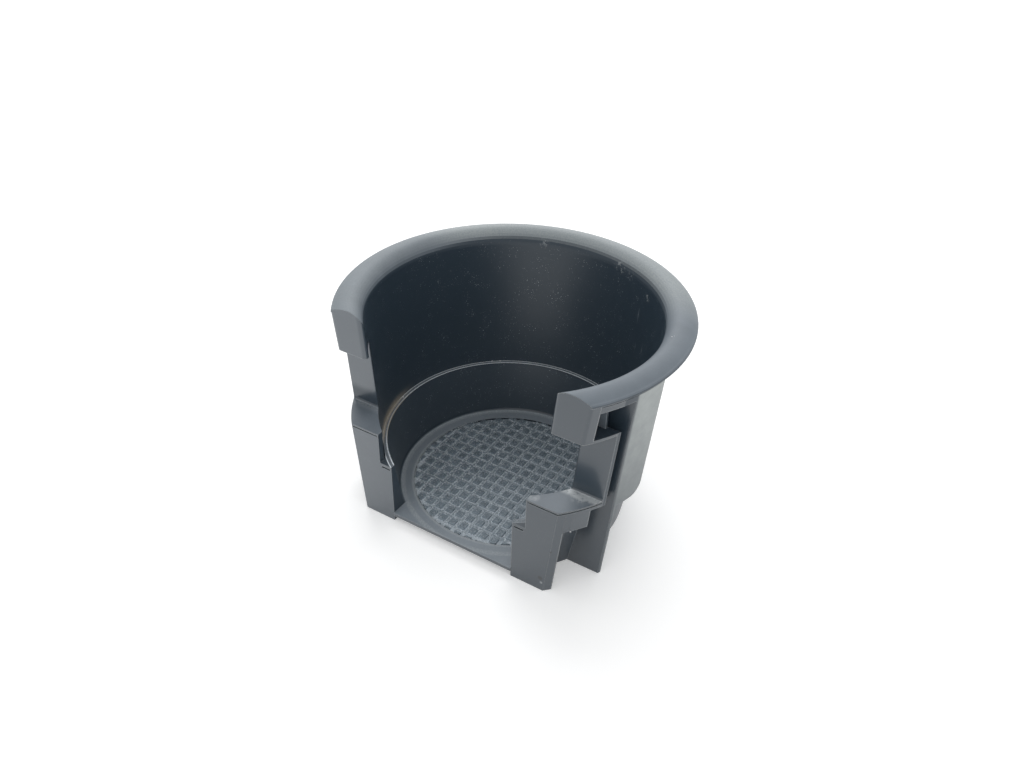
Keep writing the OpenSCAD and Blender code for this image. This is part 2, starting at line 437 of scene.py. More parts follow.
class CupGraph(ShaderGraph):
    """Node tree of the moulding. It marks the cup's surfaces, and says where dust and wear lie and where
    light and shade are painted.

    SCUFFS holds the centre, size, softness and strength of each scuff on the roll, in millimetres.
    """

    SCUFFS = (
        ((13.5, 39.2, 63.8), 1.4, 1.6, 0.35),
        ((17.6, 37.4, 63.4), 0.8, 1.4, 0.35),
        ((26.3, 31.7, 61.0), 0.7, 0.8, 0.8),
        ((-13.0, 38.6, 64.6), 1.0, 1.6, 0.3),
    )

    def __init__(self, name: str) -> None:
        """Makes the noises and marks the surfaces.

        Args:
            name: Name of the material.
        """
        super().__init__(name)
        x, y, z, r = self.x, self.y, self.z, self.r
        self.cloud = self.noise(0.22, 4.0, 0.6)
        self.fine = self.noise(2.4, 3.0, 0.6)
        self.grit = self.noise(1.1, 4.0, 0.7)
        self.fleck = self.noise(3.4, 3.0, 0.7)

        front, self.up = self.facing()
        self.wall = self.inner_wall()
        self.flap = self.outer_flap()
        self.flat_up = self.up.ramp(0.7, 0.95)
        inside = r.below(CUP.ledge_r + 0.1)
        self.floor = self.flat_up * z.band(CUP.floor_z, 0.5, 0.4) * inside
        self.ledge = self.flat_up * z.band(CUP.ledge_z, 0.2, 0.2) * inside
        self.shelf = self.flat_up * z.band(CUP.shelf_z, 0.25, 0.2) * (1 - inside)
        self.rim = z.ramp(CUP.roll_z + 0.6, CUP.roll_z + 2.2) * r.above(CUP.mouth_r) * self.up.ramp(0.12, 0.3)
        self.lip = z.above(CUP.skin_top_z + 0.4) * r.above(CUP.skin_top_r) * (1 - self.rim)
        # Glossier plates of the pillars, nearly without the opening's inner cheeks
        behind = front.ramp(0.6, 0.9) * y.below(-CUP.rib_y + 0.5)
        behind = y.ramp(-CUP.back_y + 0.4, -CUP.back_y).high(behind)
        cheeks = x.size().band(CUP.low_half, 0.1, 0.1) + x.size().band(CUP.high_half, 0.1, 0.1)
        cheeks = cheeks * front.ramp(0.6, 0.3) * z.below(CUP.shelf_z)
        plates = behind * (1 - self.wall) * (1 - self.flat_up)
        self.plates = plates * (1 - self.rim) * (1 - cheeks * 0.85)
        # Back plates behind the rim's boxes, seen through the windows in their sides
        self.web = z.band(60.0, 5.4, 0.3) * y.band(-CUP.back_y, 0.1, 0.2) * front.above(0.9)
        # Left side, whose plates get painted light, and the painted shade low on its back plate
        self.left = x.ramp(10.0, -38.0)
        self.shade = self.left * z.ramp(37.5, 34.5) * y.band(-CUP.back_y, 0.2, 0.2) * 0.45

    def inner_wall(self) -> Sock:
        """Marks the cup's inner wall, above and below the ledge.

        Returns:
            The mask.
        """
        cup, bowl = CUP.roll_z - CUP.ledge_z, CUP.ledge_z - CUP.floor_z
        upper = CUP.ledge_r + (self.z - CUP.ledge_z) * ((CUP.mouth_r - CUP.ledge_r) / cup)
        lower = CUP.floor_r + (self.z - CUP.floor_z) * ((CUP.bowl_top_r - CUP.floor_r) / bowl)
        is_upper = self.z.above(CUP.ledge_z + 0.05)
        wall = upper * is_upper + lower * (1 - is_upper)
        within = (self.r - wall).ramp(0.35, 0.15) * self.z.ramp(CUP.floor_z + 0.6, CUP.floor_z + 1.6)
        return within * self.z.ramp(CUP.roll_z + 3.0, CUP.roll_z - 0.5)

    def outer_flap(self) -> Sock:
        """Marks the outer skin behind the side ribs, strongest at its top, where the painted reflection on it
        is brightest.

        Returns:
            The mask.
        """
        skin = CUP.skin_base_r + self.z * ((CUP.skin_top_r - CUP.skin_base_r) / CUP.skin_top_z)
        on_skin = (skin - self.r).ramp(0.5, 0.25) * self.y.ramp(-CUP.rib_y - 0.1, -CUP.rib_y + 0.9)
        on_skin = on_skin * self.z.ramp(CUP.skin_top_z + 0.2, CUP.skin_top_z - 0.2)
        return on_skin * self.z.ramp(16.0, 64.0, 0.32, 1.0)

    def dust_haze_and_painted_light(self) -> Sock:
        """Gives the grey dust on faces that look up, partly painted light, with painted light on the left
        plates and the back plates under the rim's boxes, and painted shade on the left shelf and low on the
        left back plate.

        Returns:
            Its amount.
        """
        crown = (self.up - self.y.ramp(10.0, 38.0) * 0.24).ramp(0.14, 0.42)
        # Thin grey dust where faces look up, partly painted light; the left shelf gets less of it as painted
        # shade
        dust_haze_and_painted_light = self.rim * crown * 0.62 + self.shelf * self.x.ramp(-5.0, 5.0, 0.42, 0.52)
        # Painted light on the plates at the left, less on the painted shade low on their back plate
        dust_haze_and_painted_light = dust_haze_and_painted_light + self.floor + self.ledge * 0.35 + self.plates * self.left * (0.24 - self.shade * 0.5)
        # Painted light on the back plates under the rim's boxes
        dust_haze_and_painted_light = dust_haze_and_painted_light + self.lip * 0.06 + self.web * 0.8 + self.wall * self.z.ramp(21.0, 20.0) * 0.09
        return dust_haze_and_painted_light * self.noise(0.05, 3.0).ramp(0.3, 0.7, 0.9, 1.08) * self.cloud.ramp(0.3, 0.7, 0.94, 1.06)

    def film_and_painted_light(self) -> Sock:
        """Gives the painted light at the rim's back and left, and the painted reflection on the outer skin.

        Returns:
            Its amount.
        """
        # Painted light on the rim's back and left
        pale = self.rim * self.up.ramp(0.3, 0.7)
        pale = pale * (self.y.ramp(12.0, 34.0, 0.0, 0.5) + self.x.ramp(-20.0, -40.0, 0.0, 0.18))
        pale = pale * self.fine.ramp(0.3, 0.7, 0.75, 1.25)
        # Painted reflection on the outer skin behind the ribs
        return (pale + self.flap * self.cloud.ramp(0.2, 0.8, 0.7, 0.95)).low(1.0)

    def dust(self) -> Sock:
        """Gives the dust on the floor and ledge, and in the gap round the mat.

        Returns:
            Its amount, which can pass one.
        """
        fleck, r, y = self.fleck, self.r, self.y
        ring = self.floor * r.band(33.4, 0.3, 0.8) * fleck.ramp(0.38, 0.62) * 0.75
        gap = self.floor * r.band(30.2, 0.2, 0.5) * y.ramp(14.0, -4.0) * fleck.ramp(0.35, 0.6) * 0.8
        pit = self.z.band(2.4, 0.45, 0.1) * r.band(29.95, 0.4, 0.1) * y.ramp(14.0, 2.0)
        dust = ring + gap + pit * fleck.ramp(0.3, 0.6, 0.3, 1.0)
        return dust + self.ledge * fleck.ramp(0.42, 0.65) * 0.3 + self.floor * fleck.ramp(0.55, 0.7) * 0.3

    def dust_lines_and_glint(self) -> Sock:
        """Gives the bright lines of dust along the ledge's two edges, whitened as a painted glint, fainter at
        the right front.

        Returns:
            Their amount.
        """
        # Dust along the ledge's edges, with a painted glint
        lines = (self.r - CUP.bowl_top_r).ramp(0.4, 0.2) + (CUP.ledge_r - self.r).ramp(0.28, 0.1)
        faint = 1 - self.x.above(0.0) * self.y.ramp(-18.0, -22.0) * 0.9
        return self.ledge * lines.low(1.0) * self.fleck.ramp(0.3, 0.55, 0.5, 1.0) * faint

    def clay(self) -> Sock:
        """Gives the brownish dust where the ledge meets the wall at the left.

        Returns:
            Its amount.
        """
        side = self.x.ramp(-27.0, -33.0) * self.z.ramp(23.6, 20.9) * self.z.above(CUP.ledge_z - 0.3)
        clay = (self.wall + self.ledge * (self.r - CUP.bowl_top_r).ramp(0.5, 0.9)).low(1.0)
        return clay * side * self.y.ramp(4.0, -10.0) * self.fleck.ramp(0.28, 0.6, 0.35, 1.0)

    def shelf_wear(self) -> Sock:
        """Gives the wear on the shelves' back edges, on an inner front corner and at an outer end.

        Returns:
            Its amount.
        """
        back = (self.y.size() - CUP.back_y).ramp(3.4, 1.1)
        corner = self.near((25.6, -30.9, CUP.shelf_z), 0.8, 1.3) * self.grit.ramp(0.35, 0.6, 0.06, 0.3)
        patch = self.near((36.2, -24.6, CUP.shelf_z), 0.8, 2.6) * self.grit.ramp(0.4, 0.6, 0.1, 0.5)
        worn = back * self.grit.ramp(0.32, 0.56, 0.25, 1.0) * (0.2 + 0.8 * self.x.above(0.0))
        return self.shelf * (worn + corner + patch).low(0.75)

    def scuffs(self) -> Sock:
        """Gives the scuffs on the roll and the right panel, and fine upright scratches in the cup.

        Returns:
            Their amount.
        """
        marks = self.grit.ramp(0.52, 0.66)
        total = self.near((30.3, -CUP.front_y, 3.0), 0.25, 0.3) * 0.4
        for centre, size, soft, strength in self.SCUFFS:
            total = total + marks * self.near(centre, size, soft) * strength
        streaks = self.noise(1.0, 2.0, stretch=(1.6, 1.6, 0.06)).ramp(0.66, 0.72)
        reach = self.wall * self.x.ramp(18.0, 27.0) * self.y.ramp(20.0, 27.0) * self.z.band(49.0, 6.0, 3.0)
        return total + streaks * reach * 0.35

    def wear(self, radius: float) -> Sock:
        """Gives the whitish wear, with the wear and painted highlight of sharp edges but for the skirt's
        seams.

        Args:
            radius: Radius of the worn edges, in metres.

        Returns:
            Its amount.
        """
        seam = self.z.band(26.2, 3.4, 0.1) * self.y.band(-30.4, 0.9, 0.1)
        # Sharp edges are lightened as wear and as a painted highlight
        edges = self.edges(radius) * (0.2 + self.plates * 0.16) * (1 - self.rim) * (1 - self.wall)
        return (self.shelf_wear() + self.scuffs() + edges * (1 - seam)).low(1.0)

    def nicks(self) -> Sock:
        """Gives the small dark nicks in the front panel at the right.

        Returns:
            Their amount.
        """
        low = self.near((29.9, -CUP.front_y, 4.6), 0.55, 0.35)
        high = self.near((32.7, -CUP.front_y, 16.1), 0.25, 0.25)
        return (low + high).low(1.0) * 0.85

    def specks(self) -> Sock:
        """Gives the small pale specks, most of them on the inner wall."""
        specks = self.noise(3.0, 1.0).ramp(0.69, 0.73)
        return specks * (0.05 + self.wall * 0.35) * self.cloud.ramp(0.46, 0.62, 0.1, 1.0)


@dataclass(frozen=True)
class MouldedPlastic:
    """Dark blue-grey moulded plastic: grained rim, glossier plates, dusty where it faces up, with painted
    light, reflection and shade.

    Args:
        tone: Colour of the plastic.
        dust_haze_and_painted_light: Colour of the thin grey dust on faces that look up, partly painted light,
            and of the painted light on the left plates and on the back plates under the rim's boxes.
        film_and_painted_light: Colour of the painted light at the rim's back and left, and of the painted
            reflection on the outer skin.
        dust: Colour of settled dust.
        salt: Colour of the bright lines of dust on the ledge, whitened as a painted glint, and of specks.
        clay: Colour of the brownish dust at the left of the ledge.
        rub: Colour of whitish wear, and of the painted highlight on sharp edges.
        nick: Colour inside the small nicks.
        edge: Radius by which its edges catch the light, in metres.
        relief: Depth of its grain, in metres.
    """

    tone: Colour = (0.027, 0.042, 0.058, 1)
    dust_haze_and_painted_light: Colour = (0.22, 0.255, 0.29, 1)
    film_and_painted_light: Colour = (0.38, 0.41, 0.405, 1)
    dust: Colour = (0.39, 0.425, 0.445, 1)
    salt: Colour = (0.86, 0.92, 0.96, 1)
    clay: Colour = (0.36, 0.31, 0.24, 1)
    rub: Colour = (0.55, 0.58, 0.59, 1)
    nick: Colour = (0.008, 0.010, 0.012, 1)
    edge: float = 0.00035
    relief: float = 0.000016

    def build(self) -> Material:
        """Builds the plastic.

        Returns:
            The material.
        """
        g = CupGraph("moulded_plastic")
        dust = g.dust()
        layers = (
            (self.dust_haze_and_painted_light, g.dust_haze_and_painted_light()),
            (self.film_and_painted_light, g.film_and_painted_light()),
            (self.dust, dust.low(1.0)),
            (self.salt, g.dust_lines_and_glint()),
            (self.clay, g.clay()),
            (self.rub, g.wear(self.edge * 1.6)),
            (self.nick, g.nicks()),
            (self.salt, g.specks()),
        )
        colour: object = self.tone
        for tone, amount in layers:
            colour = g.mix(colour, tone, amount)
        matt = (g.rim + g.flat_up + g.flap).low(1.0)
        roughness = 0.34 + matt * 0.16 + g.rim * 0.12 + dust * 0.2 + (g.cloud - 0.5) * 0.06
        gloss = {
            "IOR": 1.55,
            # Thinner coat on the painted shade low on the left back plate
            "Coat Weight": g.plates * (0.62 - g.shade) + g.flap * 0.22,
            "Coat Roughness": 0.17,
            "Coat IOR": 1.65,
        }
        return g.finish(colour, roughness, g.fine * (0.35 + matt * 0.65), self.relief, gloss, self.edge)


@dataclass(frozen=True)
class DustyRubber:
    """Dark rubber of the mat, with dust gathered at the feet of its pads, and a painted pool of light towards
    the front right.

    Args:
        tone: Colour of the clean rubber.
        film_and_painted_light: Colour of the dust on the pads, and of the painted light on them.
        dust: Colour of the dust in the grooves.
        salt: Colour of the pale specks.
        relief: Depth of its grain, in metres.
        edge: Radius by which the pads' edges catch the light, in metres.
    """

    tone: Colour = (0.030, 0.040, 0.050, 1)
    film_and_painted_light: Colour = (0.22, 0.275, 0.32, 1)
    dust: Colour = (0.48, 0.54, 0.59, 1)
    salt: Colour = (0.66, 0.71, 0.75, 1)
    relief: float = 0.00004
    edge: float = 0.00012

    def off_pad(self, g: ShaderGraph) -> Sock:
        """Gives how far a point lies outside the nearest pad, in millimetres.

        Args:
            g: Graph to add to.

        Returns:
            The distance, below zero on a pad.
        """
        far = []
        for place, pitch in zip((g.x, g.y), MAT.pitch):
            shifted = place / pitch + 50.5
            far.append((shifted.part() - 0.5).size() * pitch - (pitch - MAT.groove_w) / 2)
        return far[0].high(far[1])

    def build(self) -> Material:
        """Builds the rubber.

        Returns:
            The material.
        """
        g = ShaderGraph("dusty_rubber")
        off = self.off_pad(g)
        low = g.z.ramp(MAT.top_z - 0.15, MAT.groove_z + 0.12)
        foot = low * off.ramp(0.42, 0.22)
        crest = (1 - low) * off.ramp(-0.32, -0.05)
        fleck = g.noise(4.2, 3.0, 0.7)
        broad = g.noise(0.07, 3.0)
        cloud = g.noise(0.35, 4.0, 0.65)
        grit = g.noise(1.6, 4.0, 0.75)
        fine = g.noise(5.0, 2.0)

        # Painted pool of light: the pads and the dust in the grooves are lighter towards the front right, the
        # pads also towards the right
        light_pool = (g.x * 0.75 - g.y * 0.65).ramp(-26.0, 20.0)
        pads = (0.46 + light_pool * 0.24 + g.x.ramp(0.0, 24.0, 0.0, 0.2)) * cloud.ramp(0.25, 0.75, 0.65, 1.35)
        pads = pads * fleck.ramp(0.36, 0.64, 0.2, 1.8)
        colour = g.mix(self.tone, self.film_and_painted_light, (pads + crest * 0.4).low(1.0))
        heaped = foot * (0.48 + light_pool * 0.55) + low * (0.18 + light_pool * 0.16)
        heaped = heaped + low * g.r.band(29.3, 0.7, 0.8) * g.y.ramp(16.0, -2.0) * 0.7
        grooves = heaped * fleck.ramp(0.34, 0.62, 0.2, 1.5) * broad.ramp(0.3, 0.7, 0.8, 1.2)
        colour = g.mix(colour, self.dust, grooves.low(1.0))
        specks = g.noise(2.0, 1.0).ramp(0.57, 0.64) * (0.28 + low * 0.5)
        colour = g.mix(colour, self.salt, specks)
        roughness = 0.50 + low * 0.25 + (cloud - 0.5) * 0.15
        return g.finish(colour, roughness, grit * 0.6 + fine * 0.4, self.relief, {"IOR": 1.5}, self.edge)


@dataclass(frozen=True)
class PaleGrain:
    """Crumbs of dust and lint.

    Args:
        light: Colour of the palest crumbs.
        dark: Colour of the darkest crumbs.
    """

    light: Colour = (0.64, 0.69, 0.73, 1)
    dark: Colour = (0.30, 0.35, 0.38, 1)

    def build(self) -> Material:
        """Builds the crumbs' matt finish.

        Returns:
            The material.
        """
        g = ShaderGraph("pale_grain")
        tone = g.noise(0.9, 1.0).ramp(0.35, 0.65)
        return g.finish(g.mix(self.dark, self.light, tone), 0.9, None, 0.0, {"IOR": 1.4})


@dataclass(frozen=True)
class WhiteGround:
    """White paper that the part stands on, lightened where the camera sees it.

    Args:
        tone: Colour of the paper.
        light: Colour of its lighter patches.
        lift: Strength of the white that is added where the camera and reflections see it.
    """

    tone: Colour = (0.93, 0.93, 0.925, 1)
    light: Colour = (0.95, 0.95, 0.945, 1)
    lift: float = 0.28

    def build(self) -> Material:
        """Builds the paper.

        Returns:
            The material.
        """
        g = ShaderGraph("white_ground")
        tone = g.mix(self.tone, self.light, g.noise(0.01, 2.0))
        paper = g.add("ShaderNodeBsdfDiffuse", values={"Color": tone}).outputs[0]
        white = g.add("ShaderNodeEmission", values={"Color": WHITE, "Strength": self.lift}).outputs[0]
        lifted = g.add("ShaderNodeAddShader", values={0: paper, 1: white}).outputs[0]
        mixed = g.add("ShaderNodeMixShader", values={0: g.seen(), 1: paper, 2: lifted}).outputs[0]
        g.add("ShaderNodeOutputMaterial", values={"Surface": mixed})
        return g.material


# Geometry Nodes


class GeoGraph(NodeGraph):
    """Geometry Nodes tree with named inputs, used once and then applied."""

    def __init__(self, name: str, values: dict[str, float | int]) -> None:
        """Makes a tree with a geometry output and named inputs.

        Args:
            name: Name of the tree.
            values: Value of each input; whole numbers make whole number inputs.
        """
        super().__init__(bpy.data.node_groups.new(name, "GeometryNodeTree"))
        self.tree.interface.new_socket("Geometry", in_out="OUTPUT", socket_type="NodeSocketGeometry")
        for key, value in values.items():
            kind = "NodeSocketInt" if isinstance(value, int) else "NodeSocketFloat"
            self.tree.interface.new_socket(key, in_out="INPUT", socket_type=kind)
        self.values = values
        self.source = self.tree.nodes.new("NodeGroupInput")

    def get(self, name: str) -> Socket:
        """Gives the socket of a named input."""
        return self.source.outputs[name]

    def math(self, operation: str, first: object, second: object = 0.0) -> Socket:
        """Adds a Math node and gives its result."""
        return self.add("ShaderNodeMath", {"operation": operation}, {0: first, 1: second}).outputs[0]

    def logic(self, operation: str, first: object, second: object) -> Socket:
        """Adds a Boolean Math node and gives its result."""
        return self.add("FunctionNodeBooleanMath", {"operation": operation}, {0: first, 1: second}).outputs[0]

    def less(self, first: object, second: object) -> Socket:
        """Selects where the first value is less than the second."""
        return self.add("FunctionNodeCompare", {"operation": "LESS_THAN"}, {0: first, 1: second}).outputs[0]

    def lift(self, geometry: Socket, height: object) -> Socket:
        """Moves geometry upwards."""
        move = self.add("ShaderNodeCombineXYZ", values={2: height}).outputs[0]
        return self.add("GeometryNodeTransform", values={0: geometry, "Translation": move}).outputs[0]

    def apply(self, name: str, result: Socket, material: Material) -> Piece:
        """Ends the tree, runs it, and keeps the result as a plain mesh.

        Args:
            name: Name of the new object.
            result: Geometry to keep.
            material: Material of the whole result.

        Returns:
            The finished object, at the origin.
        """
        real = self.add("GeometryNodeRealizeInstances", values={0: result})
        dressed = self.add("GeometryNodeSetMaterial", values={0: real.outputs[0], "Material": material})
        self.add("NodeGroupOutput", values={0: dressed.outputs[0]})
        maker = place_in_scene(name + "_maker", bpy.data.meshes.new(name + "_maker"))
        modifier = maker.modifiers.new("tree", "NODES")
        modifier.node_group = self.tree
        for item in self.tree.interface.items_tree:
            if item.item_type == "SOCKET" and item.in_out == "INPUT":
                modifier[item.identifier] = self.values[item.name]
        bpy.context.view_layer.update()
        graph = bpy.context.evaluated_depsgraph_get()
        mesh = bpy.data.meshes.new_from_object(maker.evaluated_get(graph))
        bpy.data.objects.remove(maker)
        mesh.name = name
        if not mesh.materials:
            mesh.materials.append(material)
        piece = place_in_scene(name, mesh)
        report(piece)
        return piece


def place_in_scene(name: str, data: bpy.types.ID) -> Piece:
    """Makes an object and links it to the scene.

    Args:
        name: Name of the object.
        data: Its mesh, light or camera.

    Returns:
        The object.
    """
    thing = bpy.data.objects.new(name, data)
    bpy.context.scene.collection.objects.link(thing)
    return thing


def report(piece: Piece) -> None:
    """Logs a piece's name and its number of triangles."""
    piece.data.calc_loop_triangles()
    LOG.info("%s: %d triangles", piece.name, len(piece.data.loop_triangles))


def from_form(name: str, form: bmesh.types.BMesh, material: Material) -> Piece:
    """Turns a finished form into a piece of the scene.

    Args:
        name: Name of the piece.
        form: Its faces, freed afterwards.
        material: Its finish.

    Returns:
        The new piece.
    """
    mesh = bpy.data.meshes.new(name)
    form.to_mesh(mesh)
    form.free()
    mesh.materials.append(material)
    piece = place_in_scene(name, mesh)
    report(piece)
    return piece


# Sub-assemblies


@dataclass
class CupBody:
    """The moulded cup with its rim, ledge, pillars, notches and side flaps.

    Args:
        node: Name of its CAD node.
        plastic: Finish of the whole moulding.
    """

    node: str = "cup_body"
    plastic: MouldedPlastic = field(default_factory=MouldedPlastic)

    def dress(self, nodes: dict[str, Piece]) -> Piece:
        """Gives the moulding its plastic.

        Args:
            nodes: CAD nodes by name.

        Returns:
            The dressed CAD node.
        """
        body = nodes[self.node]
        body.data.materials.clear()
        body.data.materials.append(self.plastic.build())
        report(body)
        return body


@dataclass
class WaffleMat:
    """Loose mat: a disc that carries rows of square pads with eased edges.

    Args:
        node: Name of the CAD node that it stands for.
        facets: Number of sides of its round edge.
        rubber: Finish of the mat.
    """

    node: str = "floor_mat"
    facets: int = 160
    rubber: DustyRubber = field(default_factory=DustyRubber)

    def build(self) -> Piece:
        """Builds the mat from a grid of pads that are cut to the disc.

        Returns:
            The finished mat.
        """
        sizes = {
            "Radius": MAT.radius * MM,
            "Pitch X": MAT.pitch[0] * MM,
            "Pitch Y": MAT.pitch[1] * MM,
            "Groove Width": MAT.groove_w * MM,
            "Groove Depth": (MAT.top_z - MAT.groove_z) * MM,
            "Base Height": (MAT.groove_z - MAT.low_z) * MM,
            "Ease": MAT.ease * MM,
            "Columns": 2 * math.ceil(MAT.radius / MAT.pitch[0]) + 1,
            "Rows": 2 * math.ceil(MAT.radius / MAT.pitch[1]) + 1,
        }
        g = GeoGraph("waffle_mat", sizes)
        pads = self.pads(g)
        cutter = self.disc(g, g.math("MULTIPLY", g.get("Groove Depth"), 4.0))
        kept = g.add("GeometryNodeMeshBoolean", {"operation": "INTERSECT"}, {"Mesh": [pads, cutter]})
        base = self.disc(g, g.get("Base Height"))
        lower = g.lift(base, g.math("MULTIPLY", g.get("Base Height"), -0.5))
        joined = g.add("GeometryNodeJoinGeometry", values={0: [kept.outputs[0], lower]})
        raised = g.lift(joined.outputs[0], MAT.groove_z * MM)
        return g.apply("waffle_mat", raised, self.rubber.build())

    def disc(self, g: GeoGraph, depth: Socket) -> Socket:
        """Adds a round disc as wide as the mat, centred on height zero."""
        values = {"Vertices": self.facets, "Radius": g.get("Radius"), "Depth": depth}
        return g.add("GeometryNodeMeshCylinder", {"fill_type": "NGON"}, values).outputs[0]

    def pads(self, g: GeoGraph) -> Socket:
        """Places one pad at each crossing of the grid.

        Args:
            g: Tree to add to.

        Returns:
            The pads as one realised mesh, standing on height zero.
        """
        wide = g.math("SUBTRACT", g.get("Pitch X"), g.get("Groove Width"))
        deep = g.math("SUBTRACT", g.get("Pitch Y"), g.get("Groove Width"))
        sink = g.math("MULTIPLY", g.get("Ease"), 0.5)
        tall = g.math("SUBTRACT", g.math("ADD", g.get("Groove Depth"), sink), g.get("Ease"))
        size = g.add("ShaderNodeCombineXYZ", values={0: wide, 1: deep, 2: tall}).outputs[0]
        block = g.add("GeometryNodeMeshCube", values={"Size": size})
        stood = g.lift(block.outputs[0], g.math("SUBTRACT", g.math("MULTIPLY", tall, 0.5), sink))
        normal = g.add("ShaderNodeSeparateXYZ", values={0: g.add("GeometryNodeInputNormal").outputs[0]})
        top = g.less(0.5, normal.outputs[2])
        raised = {"Mesh": stood, "Selection": top, "Offset Scale": g.get("Ease")}
        grown = g.add("GeometryNodeExtrudeMesh", {"mode": "FACES"}, raised)
        shrink = g.math("SUBTRACT", 1.0, g.math("DIVIDE", g.math("MULTIPLY", g.get("Ease"), 2.0), wide))
        drawn_in = {"Geometry": grown.outputs[0], "Selection": grown.outputs[1], "Scale": shrink}
        eased = g.add("GeometryNodeScaleElements", values=drawn_in)
        reach = {}
        for axis, count in (("X", "Columns"), ("Y", "Rows")):
            gaps = g.math("SUBTRACT", g.get(count), 1.0)
            reach["Size " + axis] = g.math("MULTIPLY", gaps, g.get("Pitch " + axis))
            reach["Vertices " + axis] = g.get(count)
        grid = g.add("GeometryNodeMeshGrid", values=reach).outputs[0]
        spots = g.add("GeometryNodeMeshToPoints", values={0: grid}).outputs[0]
        placed = g.add("GeometryNodeInstanceOnPoints", values={0: spots, "Instance": eased.outputs[0]})
        return g.add("GeometryNodeRealizeInstances", values={0: placed.outputs[0]}).outputs[0]


@dataclass(frozen=True)
class DustRing:
    """Flat ring that crumbs lie on, in millimetres.

    Args:
        inner: Its inner radius.
        outer: Its outer radius.
        height: Its height.
        density: Crumbs per square metre.
        crumb: Radius of a crumb.
    """

    inner: float
    outer: float
    height: float
    density: float
    crumb: float


